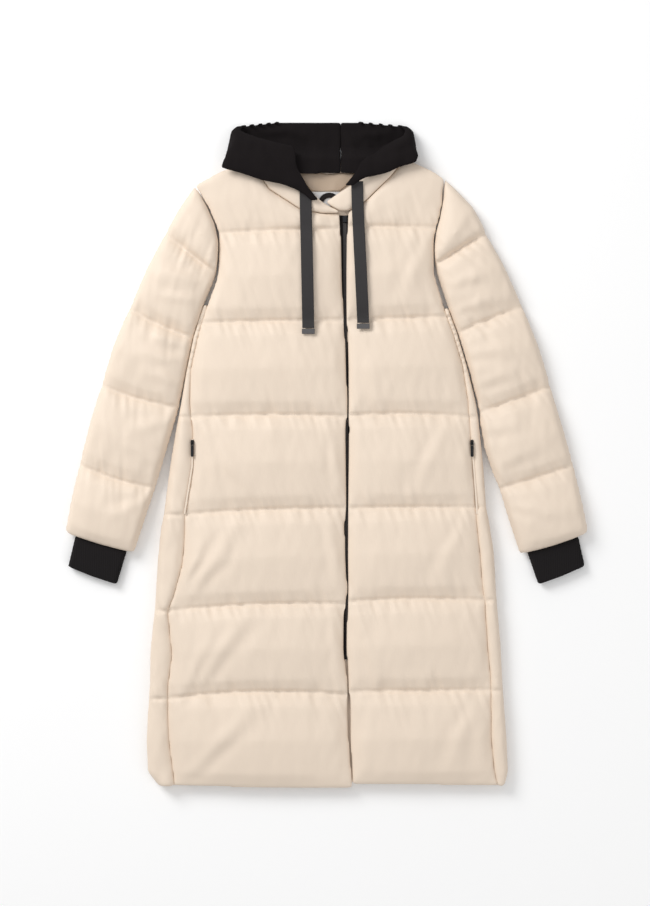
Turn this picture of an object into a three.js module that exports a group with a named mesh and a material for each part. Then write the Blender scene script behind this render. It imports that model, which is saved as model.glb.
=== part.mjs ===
// A long hooded coat of quilted, padded cloth, laid flat on its back with the front zip closed.
//
// Millimetres. The coat lies on z = 0 with its front up. +Y runs towards the hood, -Y towards the
// hem, and +X towards the sleeve on the wearer's left. The origin is on the surface, under the
// middle of the coat. "Right" and "left" in names are the wearer's.

import * as THREE from 'three';

// ---------------------------------------------------------------------------------------------
// Driving dimensions
// ---------------------------------------------------------------------------------------------

const SEAM_GAP = 0.4;        // cloth to cloth at every sewn seam
const LAY_GAP = 0.4;         // one layer lying on another

const BACK_INSIDE = 13;      // inside face of the back layer
const BACK_GROOVE = 3;       // depth of a quilting seam under the back
const FRONT_INSIDE = 16.2;   // inside face of the front layer
const FRONT_SEAM = 23;       // top of the front layer along a seam
const FRONT_CROWN = 17;      // how far a quilted channel stands over its seams
const YOKE_CROWN = 8;        // the same over the shoulders, where the wadding is thin
const SIDE_CROWN = 7;        // the same on a side panel
const SIDE_WALL = 6;         // cloth and wadding at the folded edge of a side panel
const SIDE_BACK_REACH = 26;  // how much further a side panel reaches on the back than in front
const EDGE_LEVEL = 14.5;     // height of the coat's outermost fold over the surface

const SLEEVE_SEAM = 23;      // top of a sleeve along a quilting seam
const SLEEVE_CROWN = 17;     // how far a sleeve channel stands over its seams
const SLEEVE_CLEAR = 1.4;     // sleeve to the edge of the body, across the coat
const SLEEVE_SLIT = 0.6;     // half the space between a flattened sleeve's two layers

const CUFF_LEVEL = 9;        // height of a cuff's middle
const CUFF_HALF = 7;         // half the thickness of a flattened cuff
const CUFF_SLIT = 0.6;

const HOOD_WALL = 3.2;       // two layers of jersey
const COLLAR_FOOT = 17.2;    // under face of the stand collar
const COLLAR_TOP = 29;
const COLLAR_CLEAR = 0.8;    // foot of the collar to the neck edge, up the coat

const TAPE_WIDTH = 15;       // one side of the front zip, from the chain outwards
const TAPE_BOTTOM = 13.4;
const TAPE_THICK = 0.9;
const CHAIN_WIDTH = 6;
const CHAIN_THICK = 1.2;

const RIBBON_WIDTH = 21;
const RIBBON_THICK = 1.6;
const TIP_LENGTH = 9;
const TIP_WIDTH = 22.4;
const TIP_THICK = 2.8;

const PULL_LENGTH = 25;
const PULL_WIDTH = 5.2;
const PULL_THICK = 1.3;
const PULL_EYE = 3.2;        // width of the pull's eye
const BAIL_WIDTH = 2;        // the slider's bow, which the eye turns on
const BAIL_INNER = 1.4;
const BAIL_OUTER = 2.5;

// Where a channel is sampled along its length of cloth, from one seam to the next.
const CHANNEL_STEPS = [0, 0.15, 0.5, 0.85];
// Where a front is sampled from its side seam to its zip edge.
const FRONT_STEPS = [0, 0.07, 0.25, 0.5, 0.75, 0.93, 1];
const BACK_STEPS = [0, 0.08, 0.25, 0.42, 0.5, 0.58, 0.75, 0.92, 1];
const SLEEVE_STEPS = [0.07, 0.25, 0.5, 0.75, 0.93];

// Edge of each side of the body, from the top of the armhole to the hem.
//   y      height up the coat
//   seam   where the front meets the sleeve or the side panel
//   edge   outermost fold of the side panel
const RIGHT_SIDE = [
  { y: 472, seam: -230, edge: -230 },
  { y: 422, seam: -201, edge: -201 },
  { y: 387, seam: -189, edge: -189 },
  { y: 354, seam: -188, edge: -188 },
  { y: 318, seam: -189, edge: -190 },
  { y: 285, seam: -199, edge: -201 },
  { y: 265, seam: -209, edge: -213 },
  { y: 213, seam: -225, edge: -230 },
  { y: 148, seam: -239, edge: -244 },
  { y: 81, seam: -242, edge: -255 },
  { y: 43, seam: -235, edge: -263 },
  { y: 1, seam: -232, edge: -270 },
  { y: -41, seam: -239, edge: -277 },
  { y: -104, seam: -249, edge: -284 },
  { y: -141, seam: -249, edge: -292 },
  { y: -211, seam: -255, edge: -297 },
  { y: -237, seam: -265, edge: -298 },
  { y: -274, seam: -280, edge: -300 },
  { y: -342, seam: -273, edge: -309 },
  { y: -372, seam: -271, edge: -307 },
  { y: -409, seam: -280, edge: -309 },
  { y: -477, seam: -279, edge: -314 },
  { y: -531, seam: -276, edge: -316 },
  { y: -559, seam: -270, edge: -312 },
  { y: -582, seam: -268, edge: -292 },
];
const LEFT_SIDE = [
  { y: 484, seam: 206, edge: 206 },
  { y: 449, seam: 205, edge: 205 },
  { y: 419, seam: 200, edge: 200 },
  { y: 395, seam: 192, edge: 192 },
  { y: 360, seam: 186, edge: 186 },
  { y: 333, seam: 186, edge: 187 },
  { y: 312, seam: 190, edge: 191 },
  { y: 279, seam: 202, edge: 205 },
  { y: 258, seam: 206, edge: 211 },
  { y: 193, seam: 230, edge: 235 },
  { y: 130, seam: 246, edge: 251 },
  { y: 81, seam: 251, edge: 263 },
  { y: 27, seam: 254, edge: 269 },
  { y: -41, seam: 260, edge: 276 },
  { y: -90, seam: 263, edge: 278 },
  { y: -127, seam: 265, edge: 286 },
  { y: -164, seam: 270, edge: 292 },
  { y: -213, seam: 272, edge: 295 },
  { y: -253, seam: 279, edge: 297 },
  { y: -342, seam: 284, edge: 305 },
  { y: -396, seam: 290, edge: 307 },
  { y: -461, seam: 290, edge: 312 },
  { y: -526, seam: 290, edge: 317 },
  { y: -545, seam: 293, edge: 319 },
  { y: -563, seam: 298, edge: 316 },
  { y: -582, seam: 302, edge: 311 },
];

// The two front edges over the zip. They part and close as the padded fronts roll.
const CLOSURE = [
  { y: 424, right: 22.8, left: 37.6 },
  { y: 389, right: 25.4, left: 35.9 },
  { y: 340, right: 25.9, left: 34.8 },
  { y: 270, right: 28.9, left: 34.8 },
  { y: 235, right: 31.0, left: 35.5 },
  { y: 165, right: 34.1, left: 38.5 },
  { y: 113, right: 37.3, left: 39.4 },
  { y: 69, right: 36.6, left: 38.7 },
  { y: 26, right: 31.2, left: 40.4 },
  { y: -1, right: 34.1, left: 39.4 },
  { y: -45, right: 34.7, left: 38.3 },
  { y: -88, right: 36.5, left: 37.6 },
  { y: -141, right: 29.2, left: 36.8 },
  { y: -193, right: 34.1, left: 36.8 },
  { y: -237, right: 37.3, left: 38.2 },
  { y: -300, right: 28.6, left: 35.4 },
  { y: -346, right: 29.8, left: 35.0 },
  { y: -368, right: 35.9, left: 36.8 },
  { y: -412, right: 37.8, left: 38.6 },
  { y: -447, right: 36.2, left: 42.6 },
  { y: -482, right: 36.2, left: 42.8 },
  { y: -508, right: 40.4, left: 41.4 },
  { y: -586, right: 46.0, left: 47.0 },
];

// Quilting seams of the body, from the yoke to the hem.
//   side    height where the seam meets the side or the armhole
//   bow     how far the seam's middle rises over a straight line
//   centre  height where it meets the zip edge
const RIGHT_SEAMS = [
  { side: 388, bow: 2, centre: 396 },
  { side: 231, bow: 1, centre: 236 },
  { side: 66, bow: 3, centre: 67 },
  { side: -105, bow: 3, centre: -94 },
  { side: -274, bow: 5, centre: -262 },
  { side: -428, bow: 9, centre: -421 },
  { side: -580, bow: -2, centre: -585 },
];
const LEFT_SEAMS = [
  { side: 398, bow: 0, centre: 401 },
  { side: 242, bow: 0, centre: 236 },
  { side: 66, bow: 4, centre: 69 },
  { side: -93, bow: 1, centre: -94 },
  { side: -256, bow: 4, centre: -258 },
  { side: -414, bow: 1, centre: -416 },
  { side: -580, bow: 0, centre: -579 },
];

// Upper edges: shoulder, neck point, then round the neck. One row for each step across the panel.
const RIGHT_TOP = [
  { x: -230, y: 472 },
  { x: -198, y: 490 },
  { x: -137, y: 519 },
  { x: -100, y: 465 },
  { x: -46, y: 430 },
  { x: -8, y: 423 },
  { x: 22.8, y: 423 },
];
const LEFT_TOP = [
  { x: 206, y: 484 },
  { x: 185, y: 498 },
  { x: 137, y: 519 },
  { x: 112, y: 487 },
  { x: 69, y: 445 },
  { x: 48, y: 432 },
  { x: 37.6, y: 427 },
];
const BACK_TOP = [
  { x: -230, y: 472 },
  { x: -183, y: 498 },
  { x: -137, y: 519 },
  { x: -60, y: 508 },
  { x: 0, y: 506 },
  { x: 60, y: 508 },
  { x: 137, y: 519 },
  { x: 174, y: 504 },
  { x: 206, y: 484 },
];

// Sleeves, from the armhole to the hem: rows on the quilting seams, and between them one row at
// each crown. "out" is the sleeve's outer fold, "in" the fold beside the body.
const RIGHT_SLEEVE = [
  { outX: -230, outY: 472, inX: -189, inY: 338, bow: 14 },
  { outX: -258, outY: 434, inX: -189, inY: 327, bow: 6 },
  { outX: -283, outY: 388, inX: -191, inY: 316, bow: -1 },
  { outX: -316, outY: 326, inX: -215, inY: 262, bow: -3 },
  { outX: -346, outY: 256, inX: -232, inY: 205, bow: -5 },
  { outX: -374, outY: 193, inX: -246, inY: 144, bow: -5 },
  { outX: -395, outY: 122, inX: -258, inY: 83, bow: -6 },
  { outX: -415, outY: 60, inX: -278, inY: 15, bow: -5 },
  { outX: -434, outY: -17, inX: -300, inY: -59, bow: -6 },
  { outX: -449, outY: -80, inX: -319, inY: -115, bow: -4 },
  { outX: -459, outY: -136, inX: -337, inY: -172, bow: -3 },
];
const LEFT_SLEEVE = [
  { outX: 206, outY: 484, inX: 186, inY: 352, bow: -10 },
  { outX: 258, outY: 434, inX: 187, inY: 342, bow: -3 },
  { outX: 280, outY: 387, inX: 189, inY: 332, bow: 2 },
  { outX: 311, outY: 334, inX: 208, inY: 272, bow: 3 },
  { outX: 345, outY: 258, inX: 230, inY: 212, bow: 3 },
  { outX: 373, outY: 190, inX: 251, inY: 144, bow: 2 },
  { outX: 394, outY: 119, inX: 268, inY: 73, bow: 1 },
  { outX: 417, outY: 43, inX: 277, inY: 10, bow: 0 },
  { outX: 434, outY: -18, inX: 303, inY: -60, bow: -1 },
  { outX: 452, outY: -94, inX: 319, inY: -113, bow: -3 },
  { outX: 460, outY: -136, inX: 339, inY: -174, bow: -4 },
];

// Lower corners of the cuffs.
const RIGHT_CUFF = { outX: -455, outY: -196, inX: -368, inY: -228 };
const LEFT_CUFF = { outX: 455, outY: -195, inX: 372, inY: -228 };

// Halves of the hood, from its top fold to the point of the neck.
//   fold    outermost fold
//   flap    free front edge, which lies on top
//   seam    inner end of the layer underneath
//   foldZ   height of the under face at the fold
//   seamZ   height of the under face at the inner end
//   topZ    height of the upper layer
const RIGHT_HOOD = [
  { y: 584, fold: -92, flap: -82, seam: 25, foldZ: 0, seamZ: 0, topZ: 12 },
  { y: 577, fold: -157, flap: -146, seam: 25, foldZ: 0, seamZ: 0, topZ: 16 },
  { y: 568, fold: -167, flap: -152, seam: 25, foldZ: 0, seamZ: 0, topZ: 24 },
  { y: 557, fold: -169, flap: -128, seam: 25, foldZ: 0, seamZ: 0, topZ: 32 },
  { y: 546, fold: -171, flap: -92, seam: 25, foldZ: 0, seamZ: 0, topZ: 38 },
  { y: 538, fold: -173, flap: -57, seam: 25, foldZ: 0, seamZ: 0, topZ: 40 },
  { y: 521, fold: -177, flap: -54, seam: 25, foldZ: 30, seamZ: 19.2, topZ: 44 },
  { y: 508, fold: -183, flap: -53, seam: 25, foldZ: 35, seamZ: 19.2, topZ: 46 },
  { y: 501, fold: -185, flap: -52, seam: 25, foldZ: 36, seamZ: 19.2, topZ: 46 },
  { y: 494, fold: -158, flap: -48, seam: 25, foldZ: 36, seamZ: 19.2, topZ: 46 },
  { y: 491, fold: -148, flap: -46, seam: -70, foldZ: 36, seamZ: 33, topZ: 46 },
  { y: 480, fold: -116, flap: -40, seam: -62, foldZ: 36, seamZ: 33, topZ: 46 },
  { y: 473, fold: -80, flap: -36, seam: -56, foldZ: 36, seamZ: 33, topZ: 46 },
  { y: 464, fold: -56, flap: -30, seam: -40, foldZ: 35, seamZ: 33, topZ: 44 },
  { y: 454, fold: -38, flap: -22, seam: -30, foldZ: 34, seamZ: 33, topZ: 42 },
  { y: 444, fold: -28, flap: -14, seam: -22, foldZ: 33, seamZ: 32, topZ: 41 },
];
const LEFT_HOOD = [
  { y: 584, fold: 66, flap: 56, seam: 25.4, foldZ: 0, seamZ: 0, topZ: 12 },
  { y: 577, fold: 141, flap: 130, seam: 25.4, foldZ: 0, seamZ: 0, topZ: 16 },
  { y: 568, fold: 152, flap: 138, seam: 25.4, foldZ: 0, seamZ: 0, topZ: 24 },
  { y: 557, fold: 154, flap: 134, seam: 25.4, foldZ: 0, seamZ: 0, topZ: 32 },
  { y: 546, fold: 156, flap: 113, seam: 25.4, foldZ: 0, seamZ: 0, topZ: 38 },
  { y: 538, fold: 157, flap: 97, seam: 25.4, foldZ: 0, seamZ: 0, topZ: 40 },
  { y: 521, fold: 161, flap: 73, seam: 25.4, foldZ: 30, seamZ: 19.2, topZ: 44 },
  { y: 511, fold: 158, flap: 61, seam: 25.4, foldZ: 35, seamZ: 19.2, topZ: 46 },
  { y: 503, fold: 130, flap: 57, seam: 25.4, foldZ: 36, seamZ: 19.2, topZ: 46 },
  { y: 494, fold: 112, flap: 52, seam: 25.4, foldZ: 36, seamZ: 19.2, topZ: 46 },
  { y: 491, fold: 102, flap: 50, seam: 76, foldZ: 36, seamZ: 33, topZ: 46 },
  { y: 484, fold: 68, flap: 44, seam: 58, foldZ: 35, seamZ: 33, topZ: 45 },
  { y: 476, fold: 55, flap: 38, seam: 47, foldZ: 35, seamZ: 33, topZ: 43 },
  { y: 470, fold: 47, flap: 32, seam: 40, foldZ: 34, seamZ: 33, topZ: 42 },
];

// Stand collar, from the shoulder to the front: where its foot is sewn to the neck, and its free
// top edge.
const RIGHT_COLLAR = [
  { footX: -126, topX: -106, topY: 505 },
  { footX: -100, topX: -84, topY: 492 },
  { footX: -73, topX: -58, topY: 477 },
  { footX: -46, topX: -34, topY: 466 },
  { footX: -8, topX: -11, topY: 445 },
  { footX: 12, topX: 4, topY: 435 },
  { footX: 22, topX: 19, topY: 428 },
];
const LEFT_COLLAR = [
  { footX: 130, topX: 108, topY: 507 },
  { footX: 112, topX: 90, topY: 500 },
  { footX: 90, topX: 68, topY: 487 },
  { footX: 69, topX: 46, topY: 473 },
  { footX: 48, topX: 26, topY: 461 },
  { footX: 37.6, topX: 12, topY: 451 },
  { footX: 26, topX: 0, topY: 443 },
  { footX: 23, topX: 7, topY: 437 },
];

// Ribbons of the drawstring, from under the hood's edge down over the fronts.
const RIGHT_RIBBON = [
  { x: -36.5, y: 461, z: 31.9 },
  { x: -36.4, y: 452, z: 31.2 },
  { x: -36.3, y: 443, z: 31.2 },
  { x: -36.2, y: 434, z: 31.6 },
  { x: -36, y: 424, z: 32.2 },
  { x: -35.8, y: 412, z: 32.2 },
  { x: -35.5, y: 400, z: 31 },
  { x: -35.2, y: 390, z: 31.6 },
  { x: -34.9, y: 380, z: 34.4 },
  { x: -34.6, y: 368, z: 38 },
  { x: -34.2, y: 350, z: 40.8 },
  { x: -33.8, y: 330, z: 42.4 },
  { x: -33.4, y: 310, z: 42.6 },
  { x: -33, y: 290, z: 41.8 },
  { x: -32.6, y: 270, z: 39.8 },
  { x: -32.3, y: 255, z: 36.8 },
  { x: -32.1, y: 244, z: 33.4 },
  { x: -32, y: 235, z: 31.4 },
  { x: -31.9, y: 228, z: 33 },
  { x: -31.8, y: 221, z: 35.8 },
];
const LEFT_RIBBON = [
  { x: 53.6, y: 478, z: 32 },
  { x: 53.8, y: 468, z: 31.2 },
  { x: 54, y: 459, z: 31.2 },
  { x: 54.3, y: 449, z: 31.2 },
  { x: 54.6, y: 438, z: 31.6 },
  { x: 55, y: 425, z: 32.4 },
  { x: 55.6, y: 412, z: 31.8 },
  { x: 56.2, y: 400, z: 31.6 },
  { x: 56.8, y: 388, z: 34.4 },
  { x: 57.4, y: 374, z: 38.2 },
  { x: 58.2, y: 356, z: 40.8 },
  { x: 59.2, y: 336, z: 42.2 },
  { x: 60.2, y: 314, z: 42.6 },
  { x: 61.2, y: 292, z: 41.8 },
  { x: 62.2, y: 272, z: 39.8 },
  { x: 63, y: 257, z: 36.8 },
  { x: 63.5, y: 246, z: 33.2 },
  { x: 63.9, y: 237, z: 32 },
  { x: 64.2, y: 230, z: 34.6 },
];

// Pocket zips, sewn into the side seams: top and bottom of the opening.
const POCKET_TOP = 27;
const POCKET_FOOT = -104;
const POCKET_STRIP_WIDTH = 3;
const POCKET_STRIP_THICK = 0.8;
const POCKET_STRIP_RISE = 1.6;   // over the top of the seam, clear of the cloth on both sides

// ---------------------------------------------------------------------------------------------
// Materials
// ---------------------------------------------------------------------------------------------

const makeMaterial = (color, roughness, metalness = 0) =>
  new THREE.MeshStandardMaterial({ color, roughness, metalness });

const SHELL = makeMaterial(0xeedfcc, 0.62);
const JERSEY = makeMaterial(0x1e1a1b, 0.95);
const RIB_KNIT = makeMaterial(0x211f20, 0.95);
const SATIN = makeMaterial(0xae9a84, 0.4);
const LABEL = makeMaterial(0xd8d6d4, 0.7);
const TAPE = makeMaterial(0x252121, 0.85);
const COIL = makeMaterial(0x302c2c, 0.5);
const RIBBON = makeMaterial(0x3c3a3b, 0.7);
const TIP = makeMaterial(0x4f4d4e, 0.45);
const BLACK_METAL = makeMaterial(0x2a2a2c, 0.35, 0.8);

// ---------------------------------------------------------------------------------------------
// Building closed bodies
// ---------------------------------------------------------------------------------------------

const lerp = THREE.MathUtils.lerp;

/** Volume inside a list of triangles, negative when they face inwards. */
function signedVolume(points, triangles) {
  const cross = new THREE.Vector3();
  let sum = 0;
  for (const [a, b, c] of triangles) {
    cross.crossVectors(points[b], points[c]);
    sum += points[a].dot(cross) / 6;
  }
  return sum;
}

/** A mesh from points and triangles that close on themselves, turned to face outwards. */
function closedMesh(name, points, triangles, material) {
  const inward = signedVolume(points, triangles) < 0;
  const index = [];
  for (const [a, b, c] of triangles) {
    index.push(...(inward ? [a, c, b] : [a, b, c]));
  }
  const geometry = new THREE.BufferGeometry().setFromPoints(points);
  geometry.setIndex(index);
  geometry.computeVertexNormals();
  const mesh = new THREE.Mesh(geometry, material);
  mesh.name = name;
  return mesh;
}

const quad = (a, b, c, d) => [[a, b, c], [a, c, d]];

/** A panel between an upper and a lower grid of points, with walls round its edge. */
function panel(name, upper, lower, material) {
  const rows = upper.length;
  const columns = upper[0].length;
  const points = [...upper.flat(), ...lower.flat()];
  const top = (row, column) => row * columns + column;
  const bottom = (row, column) => rows * columns + row * columns + column;
  const triangles = [];
  for (let row = 0; row < rows - 1; row += 1) {
    for (let column = 0; column < columns - 1; column += 1) {
      triangles.push(...quad(top(row, column), top(row + 1, column),
        top(row + 1, column + 1), top(row, column + 1)));
      triangles.push(...quad(bottom(row, column), bottom(row, column + 1),
        bottom(row + 1, column + 1), bottom(row + 1, column)));
    }
  }
  const rim = [];
  for (let column = 0; column < columns - 1; column += 1) rim.push([0, column]);
  for (let row = 0; row < rows - 1; row += 1) rim.push([row, columns - 1]);
  for (let column = columns - 1; column > 0; column -= 1) rim.push([rows - 1, column]);
  for (let row = rows - 1; row > 0; row -= 1) rim.push([row, 0]);
  rim.forEach(([row, column], i) => {
    const [nextRow, nextColumn] = rim[(i + 1) % rim.length];
    triangles.push(...quad(top(row, column), top(nextRow, nextColumn),
      bottom(nextRow, nextColumn), bottom(row, column)));
  });
  return closedMesh(name, points, triangles, material);
}

/** Side faces between rings of points, each ring a closed loop. */
function ringWalls(ringCount, size, first) {
  const triangles = [];
  for (let ring = 0; ring < ringCount - 1; ring += 1) {
    for (let k = 0; k < size; k += 1) {
      const here = first + ring * size;
      const next = (k + 1) % size;
      triangles.push(...quad(here + k, here + next, here + size + next, here + size + k));
    }
  }
  return triangles;
}

/** Triangles that fill one ring, wound the way that the ring runs. */
function ringCap(ring, first) {
  const flat = ring.map((point) => new THREE.Vector2(point.x, point.z));
  const turn = Math.sign(THREE.ShapeUtils.area(flat));
  return THREE.ShapeUtils.triangulateShape(flat, []).map(([a, b, c]) => {
    const same = Math.sign(THREE.ShapeUtils.area([flat[a], flat[b], flat[c]])) === turn;
    return same ? [first + a, first + b, first + c] : [first + a, first + c, first + b];
  });
}

/** A solid through rings that each lie across the coat, with its two ends filled. */
function solidThrough(name, rings, material) {
  const size = rings[0].length;
  const last = (rings.length - 1) * size;
  const start = ringCap(rings[0], 0).map(([a, b, c]) => [a, c, b]);
  const end = ringCap(rings[rings.length - 1], last);
  const triangles = [...ringWalls(rings.length, size, 0), ...start, ...end];
  return closedMesh(name, rings.flat(), triangles, material);
}

/** A tube with a wall, open at both ends, through matching outer and inner rings. */
function hollowThrough(name, outer, inner, material) {
  const size = outer[0].length;
  const count = outer.length * size;
  const skin = ringWalls(outer.length, size, 0);
  const lining = ringWalls(inner.length, size, count).map(([a, b, c]) => [a, c, b]);
  const ends = [];
  for (const [from, flip] of [[0, false], [(outer.length - 1) * size, true]]) {
    for (let k = 0; k < size; k += 1) {
      const next = (k + 1) % size;
      const faces = quad(from + next, from + k, count + from + k, count + from + next);
      ends.push(...(flip ? faces.map(([a, b, c]) => [a, c, b]) : faces));
    }
  }
  return closedMesh(name, [...outer, ...inner].flat(), [...skin, ...lining, ...ends], material);
}

// ---------------------------------------------------------------------------------------------
// Outlines
// ---------------------------------------------------------------------------------------------

/** One column of a table at height y. The table's rows run down the coat. */
function columnAt(table, y, column) {
  if (y >= table[0].y) return table[0][column];
  for (let i = 1; i < table.length; i += 1) {
    const above = table[i - 1];
    const below = table[i];
    if (y >= below.y) return lerp(below[column], above[column], (y - below.y) / (above.y - below.y));
  }
  return table[table.length - 1][column];
}

/** Height of a line of points at x, between its points. */
function heightOver(line, x) {
  for (let i = 1; i < line.length; i += 1) {
    const a = line[i - 1];
    const b = line[i];
    if ((x - a.x) * (x - b.x) <= 0 && a.x !== b.x) return lerp(a.y, b.y, (x - a.x) / (b.x - a.x));
  }
  return line[line.length - 1].y;
}

/** How full a quilted channel is, from 0 on a seam to 1 at its crown. */
const fullness = (t) => Math.sin(Math.PI * t) ** 0.55;
const fullnessAcross = (u) => Math.sin(Math.PI * u) ** 0.4;

/** Rows of a quilted panel: which channel each row is in, and how far down it. */
function channelRows(seams) {
  const rows = [];
  for (let channel = 0; channel < seams; channel += 1) {
    for (const t of CHANNEL_STEPS) rows.push({ channel, t });
  }
  rows.push({ channel: seams - 1, t: 1 });
  return rows;
}

/** A side's table read at the height of every row of the quilting, so that its pieces share points. */
function atQuiltRows(side, seams) {
  return channelRows(seams.length).map(({ channel, t }) => {
    const above = channel === 0 ? side[0].y : seams[channel - 1].side;
    const y = lerp(above, seams[channel].side, t);
    return { y, seam: columnAt(side, y, 'seam'), edge: columnAt(side, y, 'edge') };
  });
}

const RIGHT_EDGE = atQuiltRows(RIGHT_SIDE, RIGHT_SEAMS);
const LEFT_EDGE = atQuiltRows(LEFT_SIDE, LEFT_SEAMS);

/** Plan of one front: the point a fraction u of the way from its side to its zip edge. */
function frontPlan(side, seams, top, edge, row, u) {
  const inset = Math.sign(side[0].seam) * SEAM_GAP;
  const below = seams[row.channel];
  const bow = 4 * u * (1 - u);
  if (row.channel === 0) {
    const upper = top[FRONT_STEPS.indexOf(u)];
    const lowerY = lerp(below.side, below.centre, u) + below.bow * bow;
    const lowerX = lerp(columnAt(side, below.side, 'seam'), columnAt(CLOSURE, below.centre, edge), u);
    const y = lerp(upper.y, lowerY, row.t);
    if (u === 0) return { x: columnAt(side, y, 'seam') - inset, y };
    if (u === 1) return { x: columnAt(CLOSURE, y, edge), y };
    return { x: lerp(upper.x, lowerX, row.t), y };
  }
  const above = seams[row.channel - 1];
  const sideY = lerp(above.side, below.side, row.t);
  const centreY = lerp(above.centre, below.centre, row.t);
  const sideX = columnAt(side, sideY, 'seam') - inset;
  const centreX = columnAt(CLOSURE, centreY, edge);
  const rise = lerp(above.bow, below.bow, row.t) * bow;
  return { x: lerp(sideX, centreX, u), y: lerp(sideY, centreY, u) + rise };
}

/** Height of a front's upper face. */
function frontTop(row, u) {
  const crown = row.channel === 0 ? YOKE_CROWN : FRONT_CROWN;
  return FRONT_SEAM + crown * fullness(row.t) * fullnessAcross(u);
}

// ---------------------------------------------------------------------------------------------
// Body
// ---------------------------------------------------------------------------------------------

/** One quilted front, from its side seam to its edge beside the zip. */
function makeFront(name, side, seams, top, edge) {
  const rows = channelRows(seams.length);
  const upper = [];
  const lower = [];
  for (const row of rows) {
    const plan = FRONT_STEPS.map((u) => frontPlan(side, seams, top, edge, row, u));
    upper.push(plan.map((p, i) => new THREE.Vector3(p.x, p.y, frontTop(row, FRONT_STEPS[i]))));
    lower.push(plan.map((p) => new THREE.Vector3(p.x, p.y, FRONT_INSIDE)));
  }
  return panel(name, upper, lower, SHELL);
}

/** Where the back meets a side panel or a sleeve at height y. */
function backSeam(side, y) {
  const outward = Math.sign(side[0].seam);
  const armholeFoot = side === RIGHT_EDGE ? 265 : 258;
  const reach = SIDE_BACK_REACH * THREE.MathUtils.clamp((armholeFoot - y) / 60, 0, 1);
  return columnAt(side, y, 'seam') - outward * reach;
}

/** The quilted back, pressed flat underneath between its seams. */
function makeBack() {
  const rows = channelRows(RIGHT_SEAMS.length);
  const upper = [];
  const lower = [];
  for (const { channel, t } of rows) {
    const plan = BACK_STEPS.map((u, step) => {
      const heightAt = (i) => (i < 0
        ? BACK_TOP[step].y
        : lerp(RIGHT_SEAMS[i].side, LEFT_SEAMS[i].side, u) + 4 * u * (1 - u) * 4);
      const y = lerp(heightAt(channel - 1), heightAt(channel), t);
      const right = backSeam(RIGHT_EDGE, y) + SEAM_GAP;
      const left = backSeam(LEFT_EDGE, y) - SEAM_GAP;
      const across = lerp(right, left, u);
      const x = channel === 0 && u > 0 && u < 1 ? lerp(BACK_TOP[step].x, across, t) : across;
      return { x, y };
    });
    const groove = t === 0 || t === 1 ? BACK_GROOVE : 0;
    upper.push(plan.map((p) => new THREE.Vector3(p.x, p.y, BACK_INSIDE)));
    lower.push(plan.map((p) => new THREE.Vector3(p.x, p.y, groove)));
  }
  return panel('back', upper, lower, SHELL);
}

/** Heights at which a side panel is sampled, from under the arm to the hem. */
function sideStations(side) {
  const foot = side === RIGHT_EDGE ? 262 : 256;
  return [foot, ...side.map((row) => row.y).filter((y) => y < foot)];
}

/** A side panel, folded round the edge of the body from the front seam to the back seam. */
function makeSide(name, side) {
  const outward = Math.sign(side[0].seam);
  const rings = sideStations(side).map((y) => {
    const seam = columnAt(side, y, 'seam') + outward * SEAM_GAP;
    const edge = columnAt(side, y, 'edge');
    const back = backSeam(side, y) + outward * SEAM_GAP;
    const width = Math.abs(edge - seam);
    const crown = SIDE_CROWN * Math.min(width / 24, 1);
    const inner = edge - outward * Math.min(SIDE_WALL, width * 0.4);
    const section = [
      [seam, FRONT_SEAM],
      [lerp(seam, edge, 0.3), FRONT_SEAM + crown * 0.8],
      [lerp(seam, edge, 0.65), FRONT_SEAM + crown * 0.8],
      [lerp(seam, edge, 0.92), FRONT_SEAM - 1],
      [edge, EDGE_LEVEL],
      [lerp(seam, edge, 0.92), 4],
      [lerp(seam, edge, 0.6), 0],
      [back, 0],
      [back, BACK_INSIDE],
      [inner, BACK_INSIDE],
      [inner, FRONT_INSIDE],
      [seam, FRONT_INSIDE],
    ];
    return section.map(([x, z]) => new THREE.Vector3(x, y, z));
  });
  return solidThrough(name, rings, SHELL);
}

// ---------------------------------------------------------------------------------------------
// Sleeves and cuffs
// ---------------------------------------------------------------------------------------------

/** Plan of a sleeve: row i of its table, a fraction s of the way from outer fold to inner. */
function sleeveRow(table, i, s) {
  const row = table[i];
  const dx = row.inX - row.outX;
  const dy = row.inY - row.outY;
  const length = Math.hypot(dx, dy);
  const bow = row.bow * 4 * s * (1 - s);
  const up = Math.sign(dx) / length;
  return { x: row.outX + dx * s - dy * up * bow, y: row.outY + dy * s + dx * up * bow };
}

/** Plan of a sleeve at any place down a channel, as a curve through its two seams and crown. */
function sleevePlan(table, channel, t, s) {
  const a = sleeveRow(table, channel * 2, s);
  const m = sleeveRow(table, channel * 2 + 1, s);
  const b = sleeveRow(table, channel * 2 + 2, s);
  const wa = (1 - t) * (1 - 2 * t);
  const wm = 4 * t * (1 - t);
  const wb = t * (2 * t - 1);
  return { x: a.x * wa + m.x * wm + b.x * wb, y: a.y * wa + m.y * wm + b.y * wb };
}

/** Rings of a flattened tube: over the top from its outer fold, and back underneath. */
function flatRing(plan, steps, topAt, bottomAt, level, shrink) {
  const over = steps.map((s) => [s, topAt(s)]);
  const under = [...steps].reverse().map((s) => [s, bottomAt(s)]);
  return [[0, level], ...over, [1, level], ...under].map(([s, z]) => {
    const p = plan(lerp(0.5, s, shrink));
    return new THREE.Vector3(p.x, p.y, z);
  });
}

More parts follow.
